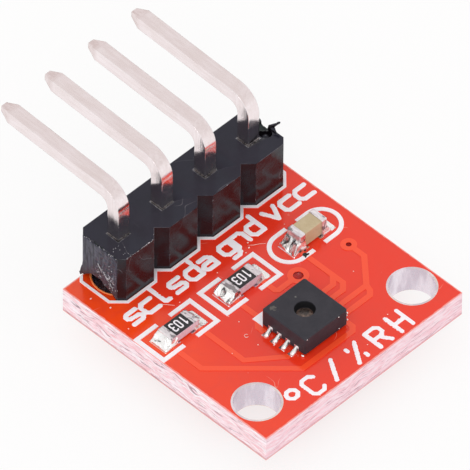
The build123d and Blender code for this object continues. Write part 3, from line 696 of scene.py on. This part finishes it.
# Letters as chains of corners, in parts of the height of a small letter
bowl = [(1.0, 1.0), (0.25, 1.0), (0.0, 0.75), (0.0, 0.25), (0.25, 0.0), (1.0, 0.0)]
small_letters = {
    "s": [[(1.0, 1.0), (0.18, 1.0), (0.0, 0.84), (0.0, 0.66), (0.16, 0.53), (0.84, 0.47),
           (1.0, 0.34), (1.0, 0.16), (0.82, 0.0), (0.0, 0.0)]],
    "c": [[(1.1, 1.0), *bowl[1:-1], (1.1, 0.0)]],
    "l": [[(0.0, 1.65), (0.0, 0.12), (0.12, 0.0), (0.42, 0.0)]],
    "d": [bowl, [(1.0, 1.6), (1.0, 0.0)]],
    "a": [[(0.1, 1.0), (0.75, 1.0), (1.0, 0.75), (1.0, 0.0), (0.2, 0.0), (0.0, 0.16),
           (0.0, 0.38), (0.2, 0.55), (1.0, 0.55)]],
    "g": [bowl, [(1.0, 1.0), (1.0, -0.3), (0.8, -0.48), (0.3, -0.48)]],
    "n": [[(0.0, 0.0), (0.0, 1.0), (0.75, 1.0), (1.0, 0.75), (1.0, 0.0)]],
    "v": [[(0.0, 1.1), (0.52, 0.0), (1.04, 1.1)]],
}
label_line = 2.39
label_height = 0.62
label_pen = 0.21
labels = {
    "scl": (-5.10, -4.28, -3.27),
    "sda": (-2.58, -1.66, -0.82),
    "gnd": (0.31, 1.07, 1.93),
    "vcc": (3.06, 3.92, 4.80),
}
for word, starts in labels.items():
    letters = [(small_letters[letter], start) for letter, start in zip(word, starts)]
    spell(f"label_{word}", letters, label_line, label_height, label_height, label_pen)

# Units of the two measured values, along the front edge
tall_letters = {
    "degree": [[(0.15, 1.0), (0.36, 1.0), (0.51, 0.85), (0.51, 0.67), (0.36, 0.52), (0.15, 0.52),
                (0.0, 0.67), (0.0, 0.85), (0.15, 1.0)]],
    "C": [[(0.66, 0.84), (0.5, 1.0), (0.16, 1.0), (0.0, 0.84), (0.0, 0.16), (0.16, 0.0),
           (0.5, 0.0), (0.66, 0.16)]],
    "slash": [[(0.0, 0.0), (0.6, 1.0)]],
    "percent": [[(0.0, 0.0), (0.66, 1.0)], [(0.1, 0.92), (0.1, 0.8)], [(0.56, 0.2), (0.56, 0.08)]],
    "R": [[(0.0, 0.0), (0.0, 1.0), (0.5, 1.0), (0.66, 0.86), (0.66, 0.62), (0.5, 0.48),
           (0.0, 0.48)], [(0.36, 0.48), (0.66, 0.0)]],
    "H": [[(0.0, 0.0), (0.0, 1.0)], [(0.66, 0.0), (0.66, 1.0)], [(0.0, 0.5), (0.66, 0.5)]],
}
units_line = -5.68
units_width = 1.0
units_height = 0.98
units_pen = 0.19
units = {"degree": -3.52, "C": -2.62, "slash": -1.38, "percent": -0.05, "R": 1.22, "H": 2.45}
letters = [(tall_letters[letter], start) for letter, start in units.items()]
spell("label_units", letters, units_line, units_width, units_height, units_pen)

# Value codes on the resistors, printed upside down
digits = {
    "1": [[(0.5, 0.0), (0.5, 1.0), (0.2, 0.82)]],
    "0": [[(0.15, 0.12), (0.15, 0.88), (0.35, 1.0), (0.65, 1.0), (0.85, 0.88), (0.85, 0.12),
           (0.65, 0.0), (0.35, 0.0), (0.15, 0.12)]],
    "3": [[(0.15, 0.9), (0.35, 1.0), (0.68, 1.0), (0.85, 0.84), (0.85, 0.64), (0.65, 0.52),
           (0.4, 0.52)], [(0.65, 0.52), (0.85, 0.38), (0.85, 0.14), (0.65, 0.0), (0.32, 0.0),
                          (0.12, 0.12)]],
}
digit_height = 0.46
digit_width = 0.24
digit_step = 0.29
digit_pen = 0.068
digit_cell = 0.013
digit_thickness = 0.006
for name in ("a", "b"):
    coating = middle(f"resistor_{name}_coating")
    coating_top = node_box(f"resistor_{name}_coating")[1].z
    routes = [
        [(coating.x - digit_step * (number - 1) - (x - 0.5) * digit_width,
          coating.y - (y - 0.5) * digit_height) for x, y in route]
        for number, digit in enumerate("103")
        for route in digits[digit]
    ]
    print_strokes(f"code_{name}", routes, digit_pen, digit_cell, coating_top, digit_thickness)


# Solder of the chips: a smooth fillet that climbs the end of each chip, uneven from one to the next

fillet_half_width = 0.52
fillet_overreach = 0.05
fillet_foot = 0.04
fillet_cell = 0.022
fillet_full_width = 0.55
fillet_rounding = 0.45
fillet_side_fall = 2.4
fillet_hollow = 1.25


def chip_solder(chip, name, side, climb, spread, lump, seed):
    """Solder piece for one end of a chip, in place of the plain CAD wedge."""
    low, high = node_box(f"{chip}_solder_{name}")
    end_low, end_high = node_box(f"{chip}_terminal_{name}")
    floor = low.z
    face_x = end_high.x if side > 0 else end_low.x
    outer_x, inner_x = (high.x, low.x) if side > 0 else (low.x, high.x)
    middle_y = (low.y + high.y) / 2
    seat = end_low.z - floor
    reach = abs(outer_x - face_x) + fillet_overreach

    def inside(x, y):
        out = (x - face_x) * side
        if (x - inner_x) * side < 0 or out > reach:
            return False
        corner = max(0.0, out / reach - fillet_full_width) / (1 - fillet_full_width)
        wave = uneven(x * 4, y * 4, seed) * 0.05
        half = fillet_half_width * math.sqrt(max(0.0, 1 - fillet_rounding * corner ** 2))
        return abs(y - middle_y) < half + wave

    def height(x, y):
        out = (x - face_x) * side
        aside = abs(y - middle_y) - (end_high.y - end_low.y) / 2
        if out < 0 and aside < 0:
            return seat
        away = math.hypot(max(out, 0.0), max(aside, 0.0) * fillet_side_fall) / (reach * spread)
        slope = climb * max(0.0, 1 - away) ** fillet_hollow
        swell = uneven(x * 3.4, y * 3.4, seed + 7) * lump * 1.5
        fold = abs(uneven(x * 3.0, y * 3.0, seed + 3)) * lump * 0.8
        fade = min(1.0, away / 0.2)
        return max(fillet_foot, slope + (swell - fold) * fade)

    points, faces = relief(fillet_cell, (min(inner_x, outer_x) - 0.02, low.y - 0.1),
                           (max(inner_x, outer_x) + 0.04, high.y + 0.1), inside, height, floor, 0.5)
    return build(f"{chip}_fillet_{name}", points, faces, solder,
                 [f"{chip}_solder_{name}"], crease=80)


# Climb, spread, lumps and seed of each fillet
chip_solder("resistor_a", "left", -1, 0.40, 1.4, 0.12, 1.0)
chip_solder("resistor_a", "right", 1, 0.26, 0.9, 0.05, 2.0)
chip_solder("resistor_b", "left", -1, 0.44, 1.6, 0.12, 3.0)
chip_solder("resistor_b", "right", 1, 0.28, 0.9, 0.05, 4.0)
chip_solder("capacitor", "left", -1, 0.56, 1.35, 0.15, 5.0)
chip_solder("capacitor", "right", 1, 0.36, 0.8, 0.06, 6.0)


# Solder of the sensor's leads: a rounded bar on each pad, each a little off its line

lead_pitch = 0.5
leads_each_side = 4
bar_half_width = 0.115
bar_height = 0.21
bar_crown = 0.8
bar_heel = 1.45
bar_fall = 0.75
bar_under_sensor = 0.1
bar_cell = 0.02
solder_low, solder_high = node_box("sensor_solder")


def lead_bars():
    """Solder bars along both sides of the sensor, as one piece in place of the CAD toes."""
    draw = random.Random(11)
    points = []
    faces = []
    for side in (-1, 1):
        outer = solder_low.x if side < 0 else solder_high.x
        inner = (sensor_low.x if side < 0 else sensor_high.x) - side * bar_under_sensor
        for number in range(leads_each_side):
            y = sensor_middle.y + (number - (leads_each_side - 1) / 2) * lead_pitch
            start = (inner, y + draw.uniform(-0.01, 0.02))
            end = (outer - side * (bar_half_width + draw.uniform(0.0, 0.05)),
                   y - 0.05 + draw.uniform(-0.03, 0.01))

            def inside(px, py):
                return near_line(px, py, start, end) < bar_half_width

            def height(px, py):
                across = near_line(px, py, start, end) / bar_half_width
                along = (px - inner) * side / abs(end[0] - inner)
                dome = math.sqrt(max(0.0, 1 - bar_crown * across ** 2))
                return bar_height * dome * (bar_heel - bar_fall * along)

            low = (min(start[0], end[0]) - 0.15, y - lead_pitch / 2)
            high = (max(start[0], end[0]) + 0.15, y + lead_pitch / 2)
            bar_points, bar_faces = relief(bar_cell, low, high, inside, height, solder_low.z, 0.4)
            first = len(points)
            points += bar_points
            faces += [[first + corner for corner in face] for face in bar_faces]
    return build("sensor_lead_solder", points, faces, solder, ["sensor_solder"],
                 crease=80)


lead_bars()


# Small rough lumps and fine fibres

speck_lumps = 0.3


def specks(name, spots, material, seed, flat):
    """Piece of small rough lumps, flattened by a share. Each spot is a centre and a radius."""
    draw = random.Random(seed)
    shape = bmesh.new()
    for centre, radius in spots:
        made = bmesh.ops.create_icosphere(shape, subdivisions=2, radius=radius)["verts"]
        stretch = Vector((draw.uniform(0.75, 1.25), draw.uniform(0.75, 1.25), flat))
        shift = Vector((draw.uniform(0, 50), draw.uniform(0, 50), draw.uniform(0, 50)))
        for corner in made:
            swell = 1 + speck_lumps * noise.noise(corner.co / radius + shift)
            corner.co = Vector(centre) + corner.co * stretch * swell
    return build_shape(name, shape, material)


def thread(name, route, radius, material):
    """Piece of one fine fibre along a chain of places, thinner at its ends."""
    sides = 5
    rings = []
    for number, place in enumerate(route):
        before = Vector(route[max(0, number - 1)])
        after = Vector(route[min(len(route) - 1, number + 1)])
        across = (after - before).cross(up).normalized()
        thin = radius * (0.5 if number in (0, len(route) - 1) else 1.0)
        angles = [math.tau * side / sides for side in range(sides)]
        rings.append([Vector(place) + across * math.cos(angle) * thin
                      + up * math.sin(angle) * thin for angle in angles])
    return build_tube(name, rings, material)


# Small marks of the bending tool on the sides of three pins
tool_marks = [((x - 0.30, 4.84, 5.35), 0.055) for x in pin_x[1:]]
specks("pin_tool_marks", tool_marks, chip_end, 13, 0.8)

# Beads where the sensor's tie bars and far leads show
beads = [
    ((sensor_high.x + 0.03, sensor_low.y + 0.06, 1.98), 0.05),
    ((sensor_high.x + 0.02, sensor_low.y + 0.02, 1.60), 0.055),
    ((sensor_high.x - 0.52, sensor_low.y, 2.2), 0.028),
    ((sensor_high.x - 0.5, sensor_low.y, 1.48), 0.03),
    ((sensor_low.x + 0.12, sensor_low.y, 2.24), 0.024),
    ((sensor_low.x - 0.07, sensor_low.y + 0.06, 1.36), 0.07),
    ((sensor_low.x + 0.02, sensor_high.y - 0.9, 1.58), 0.03),
    ((sensor_low.x - 0.46, -2.5, 1.34), 0.028),
    ((sensor_low.x - 0.42, -3.02, 1.34), 0.03),
]
specks("sensor_tie_beads", beads, solder, 3, 0.9)

# Resin beside the capacitor. Each lump is a place, a height over the board and a radius
resin_lumps = [(2.66, 0.16, 0.03, 0.10), (2.77, 0.10, 0.02, 0.07), (2.6, 0.05, 0.02, 0.05),
               (2.84, 0.34, 0.05, 0.06)]
specks("resin_speck", [((x, y, board_top + z), radius) for x, y, z, radius in resin_lumps],
       resin_and_pit_shade, 5, 0.7)

# Dust on the board, each speck at a chosen place, and fibres
dust_spots = [
    (1.48, 2.32, 0.045), (1.31, 2.09, 0.05), (-1.94, -0.55, 0.035), (-2.30, -2.01, 0.03),
    (-5.36, 4.69, 0.04), (3.43, -1.91, 0.03), (-5.14, 3.76, 0.04), (1.02, 1.98, 0.03),
    (-2.9, 1.95, 0.028), (-0.62, 2.02, 0.025), (0.9, -5.2, 0.025), (4.9, 3.9, 0.03),
    (-3.4, -1.6, 0.022), (2.7, -4.6, 0.025), (-5.45, 2.4, 0.03), (3.3, 1.98, 0.022),
]
specks("board_dust", [((x, y, board_top + 0.025), radius) for x, y, radius in dust_spots],
       pale_dust, 7, 0.5)
ring_middle = (-2.28, -1.32)
ring_radius = 0.09
ring_angles = [step / 10 * math.tau for step in range(9)]
thread("dust_ring", [(ring_middle[0] + ring_radius * math.cos(angle),
                      ring_middle[1] + ring_radius * math.sin(angle), board_top + 0.021)
                     for angle in ring_angles], 0.013, pale_dust)
fibres = {
    "fibre_left": [(-3.62, 2.44, 0.022), (-3.42, 2.30, 0.024), (-3.28, 2.12, 0.022),
                   (-3.17, 1.97, 0.022)],
    "fibre_right": [(1.38, 2.22, 0.022), (1.55, 2.06, 0.024), (1.78, 1.93, 0.022),
                    (1.98, 1.76, 0.022)],
}
for name, route in fibres.items():
    thread(name, [(x, y, board_top + z) for x, y, z in route], 0.012, pale_dust)


# Lacquer in the mouths of the vias: a sagging skin a little below the board's face, painted deep
# red as painted shade

def via_plug(name, hole, depth, sag):
    """Plug of lacquer in one via, dished on top."""
    centre = middle(name)
    rings = 6
    sides = 32
    skin_thickness = 0.08
    levels = [(ring / rings, board_top - depth - sag * (1 - (ring / rings) ** 2))
              for ring in range(1, rings + 1)]
    levels.append((1.0, board_top - depth - sag - skin_thickness))
    points = [(centre.x, centre.y, board_top - depth - sag)]
    for share, level in levels:
        for side in range(sides):
            angle = math.tau * side / sides
            points.append((centre.x + hole * share * math.cos(angle),
                           centre.y + hole * share * math.sin(angle), level))
    faces = [[0, 1 + side, 1 + (side + 1) % sides] for side in range(sides)]
    faces += [list(reversed(face)) for face in skin_faces(1, sides, len(levels))]
    faces.append([len(points) - sides + side for side in reversed(range(sides))])
    return build(f"{name}_plug", points, faces, shaded_via_lacquer)


via_plug("via_barrel_first", 0.215, 0.06, 0.1)
via_plug("via_barrel_second", 0.115, 0.05, 0.12)


# Header: lips round the pins, torn skin and crumbs at the broken end

housing_top = board_top + (housing_high.y - housing_low.y)
lip_inner = 0.356
lip_outer = 0.371
lip_rise = 0.012
lip_cell = 0.0155
lip_reach = 0.3875
recess_depth = 0.12


def pin_lip(number, x):
    """Thin square lip that stands in the recess round one pin."""
    def inside(px, py):
        return lip_inner < max(abs(px - x), abs(py - row_y)) < lip_outer

    def height(px, py):
        return recess_depth + lip_rise + uneven(px * 6, py * 6, number) * 0.02

    points, faces = relief(lip_cell, (x - lip_reach, row_y - lip_reach),
                           (x + lip_reach, row_y + lip_reach), inside, height,
                           housing_top - recess_depth, 0.25)
    return build(f"pin_lip_{number}", points, faces, crumb)


for number, x in enumerate(pin_x, start=1):
    pin_lip(number, x)

torn_x = housing_low.x
torn_front = row_y - 1.0
torn_back = row_y + 1.02
torn_cell = 0.026
torn_skin = 0.045
torn_skin_least = 0.006
torn_streaks = 0.026
torn_lumps = 0.035
torn_fine_lumps = 0.018
torn_pits = 0.12
torn_flare = 0.35
flare_depth = 0.45
flare_level = 2.3
torn_foot = [(3.80, 1.36), (4.18, 1.62), (4.57, 1.75), (4.80, 1.92), (5.27, 1.88), (5.63, 1.71),
             (5.90, 1.44)]


def foot_level(y):
    """Height of the broken foot of the header's end at a place along its depth."""
    for (y_a, z_a), (y_b, z_b) in zip(torn_foot, torn_foot[1:]):
        if y_a <= y <= y_b:
            return z_a + (z_b - z_a) * (y - y_a) / (y_b - y_a)
    return torn_foot[0][1] if y < torn_foot[0][0] else torn_foot[-1][1]


def torn_end():
    """Torn skin over the broken end of the header: drawn streaks behind, lumps and pits in front."""
    def inside(u, v):
        y = -u
        jag = uneven(y * 7, 0.0, 2.0) * 0.05 + uneven(y * 19, 0.0, 5.0) * 0.03
        if not torn_front + 0.01 < y < torn_back - 0.02:
            return False
        return foot_level(y) + jag * 0.8 < v < housing_top - 0.035 + jag

    def height(u, v):
        y = -u
        front = min(1.0, max(0.0, (torn_back - y) / (torn_back - torn_front) * 1.5 - 0.35))
        streak = uneven(y * 9, v * 1.1, 4.0) * torn_streaks
        lump = uneven(y * 7, v * 7, 9.0) * torn_lumps
        fine_lump = uneven(y * 17, v * 17, 1.0) * torn_fine_lumps
        pit = max(0.0, uneven(y * 5, v * 5, 14.0) - 0.18) * torn_pits
        flare = max(0.0, y - torn_back + flare_depth) * max(0.0, flare_level - v) * torn_flare
        rough = streak * (1 - front) + (lump + fine_lump - pit) * front
        return max(torn_skin_least, torn_skin + rough + flare)

    points, faces = relief(torn_cell, (-torn_back, board_top), (-torn_front, housing_top + 0.06),
                           inside, height, 0.0, 0.55)
    turned = [(torn_x - h, -u, v) for u, v, h in points]
    return build("torn_header_end", turned, faces, torn, crease=75)


torn_end()


shard_roughness = 0.035


def shard(name, corners, material, seed):
    """Small torn piece: the hull of a few corners, with its faces divided and roughened."""
    shape = bmesh.new()
    for corner in corners:
        shape.verts.new(corner)
    bmesh.ops.convex_hull(shape, input=shape.verts)
    bmesh.ops.delete(shape, geom=[v for v in shape.verts if not v.link_faces], context="VERTS")
    bmesh.ops.triangulate(shape, faces=shape.faces)
    bmesh.ops.subdivide_edges(shape, edges=shape.edges, cuts=3, use_grid_fill=True)
    for corner in shape.verts:
        x, y, z = corner.co * 9
        corner.co += shard_roughness * Vector((uneven(x + seed, y, z), uneven(x, y + seed, z),
                                               uneven(x, y, z + seed)))
    return build_shape(name, shape, material)


burr_corners = [(0.12, 5.72, 1.78), (-0.02, 5.74, 2.02), (-0.02, 5.86, 2.05), (-0.16, 5.92, 1.62),
                (-0.14, 5.86, 1.52), (-0.05, 5.74, 1.60), (0.1, 5.85, 1.56), (0.1, 5.88, 1.9)]
shard("torn_rear_burr", [(torn_x + x, y, z) for x, y, z in burr_corners], torn,
      2.0)


# The header's last end: the CAD flash gives way to a torn one beside a bite in the top edge

end_x = pin_x[-1] + 1.08
bite_middle = Vector((end_x - 0.01, 4.90, housing_top + 0.05))
bite_size = Vector((0.46, 0.33, 0.25))
bite_lumps = 0.16
bite_fine_lumps = 0.06
level_margin = 0.001
weld_metres = 1e-7


def mesh_object(name, shape):
    """Object in the scene from a worked mesh, which is used up."""
    mesh = bpy.data.meshes.new(name)
    shape.to_mesh(mesh)
    shape.free()
    made = bpy.data.objects.new(name, mesh)
    scene.collection.objects.link(made)
    return made


def bitten_housing():
    """The housing cut level with its top, with a rough bite taken from the edge of its last end."""
    shape = bmesh.new()
    shape.from_mesh(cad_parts["header_housing"].data)
    bmesh.ops.remove_doubles(shape, verts=shape.verts, dist=weld_metres)
    bmesh.ops.bisect_plane(shape, geom=shape.verts[:] + shape.edges[:] + shape.faces[:],
                           plane_co=(0, 0, (housing_top + level_margin) * MM),
                           plane_no=(0, 0, 1), clear_outer=True)
    bmesh.ops.holes_fill(shape, edges=[edge for edge in shape.edges if edge.is_boundary])
    housing = mesh_object("header_housing_cut", shape)
    housing.data.materials.clear()
    # The bite's faces take the dark resin finish, as painted shade in the hollow
    for material in (mould, resin_and_pit_shade):
        housing.data.materials.append(material)

    shape = bmesh.new()
    bmesh.ops.create_icosphere(shape, subdivisions=4, radius=1)
    for corner in shape.verts:
        swell = (1 + bite_lumps * noise.noise(corner.co * 2.6)
                 + bite_fine_lumps * noise.noise(corner.co * 7))
        corner.co = (bite_middle + corner.co * swell * bite_size) * MM
    for face in shape.faces:
        face.material_index = 1
    bite = mesh_object("housing_bite", shape)

    cut = housing.modifiers.new("bite", "BOOLEAN")
    cut.operation = "DIFFERENCE"
    cut.object = bite
    bpy.context.view_layer.update()
    seen = housing.evaluated_get(bpy.context.evaluated_depsgraph_get())
    result = bpy.data.meshes.new_from_object(seen)
    for item in (housing, bite):
        bpy.data.objects.remove(item)
    return settle("header_housing_torn", result, ["header_housing"], crease=25)


bitten_housing()


rod_swell = 0.45


def torn_rod(name, route):
    """Rough rod along a chain of places by the header's last end, each with its own radius."""
    sides = 9
    steps = 4
    route = [(Vector((end_x + x, y, housing_top + z)), radius) for x, y, z, radius in route]
    chain = []
    for (place_a, radius_a), (place_b, radius_b) in zip(route, route[1:]):
        for share in (step / steps for step in range(steps)):
            chain.append((place_a.lerp(place_b, share), radius_a + (radius_b - radius_a) * share))
    chain.append(route[-1])
    rings = []
    for number, (place, radius) in enumerate(chain):
        along = chain[min(len(chain) - 1, number + 1)][0] - chain[max(0, number - 1)][0]
        across = along.cross(up).normalized()
        above = across.cross(along).normalized()
        ring = []
        for angle in (math.tau * side / sides for side in range(sides)):
            out = across * math.cos(angle) + above * math.sin(angle)
            swell = 1 + rod_swell * noise.noise((place + out * radius) * 11)
            ring.append(place + out * radius * swell)
        rings.append(ring)
    return build_tube(name, rings, mould, crease=50)


# Places out from the end, along the board and up from the housing's top, each with a radius
torn_rod("torn_flash", [
    (-0.06, 4.62, -0.12, 0.07), (-0.03, 4.60, 0.04, 0.12), (0.0, 4.52, 0.17, 0.10),
    (0.04, 4.42, 0.27, 0.075), (0.10, 4.34, 0.36, 0.06), (0.17, 4.28, 0.43, 0.05),
    (0.21, 4.25, 0.45, 0.03)])
torn_rod("torn_flash_foot", [
    (-0.04, 4.24, -0.05, 0.03), (-0.05, 4.32, 0.03, 0.07), (-0.03, 4.44, 0.09, 0.10),
    (-0.04, 4.60, -0.02, 0.08)])
torn_rod("torn_flash_spike", [
    (-0.06, 5.10, -0.12, 0.03), (-0.03, 5.19, -0.02, 0.05), (-0.01, 5.23, 0.05, 0.03),
    (0.0, 5.24, 0.09, 0.012)])


# Orange rim of the lacquer round the first pin's pad, where the header is broken away: the
# lacquer's edge over copper, made brighter as painted highlight

rim_inner = 1.115
rim_outer = 1.195
rim_height = 0.035
rim_sunk = 0.005
rim_cell = 0.02
rim_uncovered = 0.42
rim_half_depth = 0.97


def pad_rim():
    """Raised ring of lacquer, cut where the header covers it."""
    def inside(px, py):
        return (rim_inner < math.hypot(px - pin_x[0], py - row_y) < rim_outer
                and px < torn_x + rim_uncovered and abs(py - row_y - 0.1) < rim_half_depth)

    points, faces = relief(rim_cell, (pin_x[0] - 1.22, row_y - 1.2), (pin_x[0] + 0.1, row_y + 1.2),
                           inside, lambda px, py: rim_height, board_top - rim_sunk, 0.6)
    return build("pad_lacquer_rim", points, faces, lacquer_rim_and_highlight)


pad_rim()


# Crumbs, pits and scratches of the broken end

crumbs_y = 4.28
crumbs_z = 2.15
crumbs_slant = 0.9


def crumb_spots():
    """Places and radii of the crumbs: along the end's top edge and the front edge, on the torn
    face and on top beside it."""
    draw = random.Random(21)
    within = draw.uniform
    spots = []
    for _ in range(18):
        y = within(torn_front, torn_back)
        spots.append(((torn_x - within(0.0, 0.05), y, housing_top - within(-0.01, 0.06)),
                      within(0.010, 0.022)))
    for _ in range(30):
        x = within(torn_x + 0.2, pin_x[0] + 0.95)
        spots.append(((x, housing_low.y - within(-0.01, 0.01),
                       housing_top - within(-0.005, 0.03)), within(0.012, 0.027)))
    for _ in range(60):
        y = draw.gauss(crumbs_y, 0.22)
        z = draw.gauss(crumbs_z, 0.42) + (y - crumbs_y) * crumbs_slant
        if torn_front + 0.03 < y and foot_level(y) + 0.05 < z < housing_top - 0.1:
            spots.append(((torn_x - 0.055, y, z), within(0.012, 0.028)))
    for _ in range(12):
        spots.append(((within(torn_x + 0.05, torn_x + 0.7), within(3.75, 4.4),
                       housing_top + 0.004), within(0.008, 0.018)))
    return spots


specks("torn_crumbs", crumb_spots(), crumb, 22, 0.8)
# Painted shade: the pits are dark lumps of the resin finish along the torn top edge
pit_count = 17
pit_step = 0.115
within = random.Random(31).uniform
pit_shade_spots = [((torn_x + within(-0.01, 0.05), torn_front + 0.08 + pit_step * number,
               housing_top - within(0.0, 0.02)), within(0.025, 0.05))
             for number in range(pit_count)]
specks("torn_edge_pit_shade", pit_shade_spots, resin_and_pit_shade, 32, 0.5)
scratches = {
    "torn_scratch_long": (0.022, [(0.075, 4.90, 2.86), (0.085, 4.80, 2.72), (0.08, 4.70, 2.58),
                                  (0.085, 4.66, 2.44)]),
    "torn_scratch_short": (0.018, [(0.08, 4.62, 2.62), (0.085, 4.50, 2.48), (0.08, 4.38, 2.34),
                                   (0.085, 4.33, 2.22)]),
    "torn_scratch_low": (0.017, [(0.08, 4.20, 2.24), (0.085, 4.11, 2.08), (0.08, 4.02, 1.97)]),
}
for name, (radius, route) in scratches.items():
    thread(name, [(torn_x - out, y, z) for out, y, z in route], radius, crumb)
